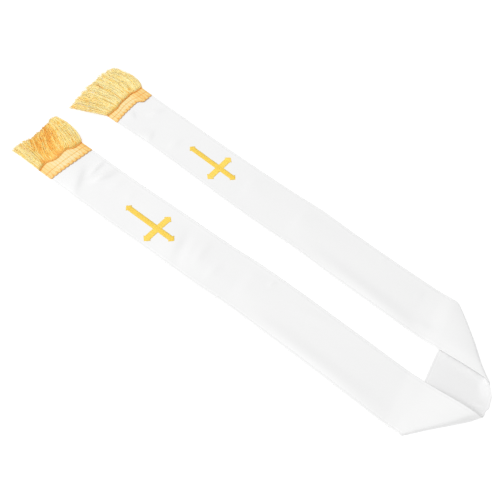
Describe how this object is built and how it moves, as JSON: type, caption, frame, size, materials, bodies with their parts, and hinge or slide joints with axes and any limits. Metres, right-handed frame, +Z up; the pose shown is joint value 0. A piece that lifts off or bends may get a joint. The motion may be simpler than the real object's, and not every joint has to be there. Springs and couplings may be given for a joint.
{
  "type": "clerical stole",
  "caption": "White clerical stole laid out flat: a long lined strip turned over at the corners of its neck, with a gold cross, woven braid and fringe on each arm.",
  "frame": {"origin": "middle of the base of the laid-out stole's box, on the surface it lies on", "axes": "+X along the arms from the fringed ends to the neck; +Y from the left arm to the right arm (the wearer's sides); +Z up, out of the front of the arms"},
  "size_m": [1.1476, 0.3442, 0.0253],
  "materials": {
    "satin": "white polyester satin, soft sheen",
    "lining": "white satin lining, soft sheen",
    "embroidery": "golden yellow satin stitch",
    "braid": "woven gold rayon braid",
    "fringe": "glossy gold rayon threads"
  },
  "bodies": {
    "root": {"front_panel": "satin", "back_panel": "lining", "cross_left": "embroidery", "cross_right": "embroidery", "braid_left": "braid", "braid_right": "braid", "fringe_left": "fringe", "fringe_right": "fringe"}
  },
  "joints": []
}
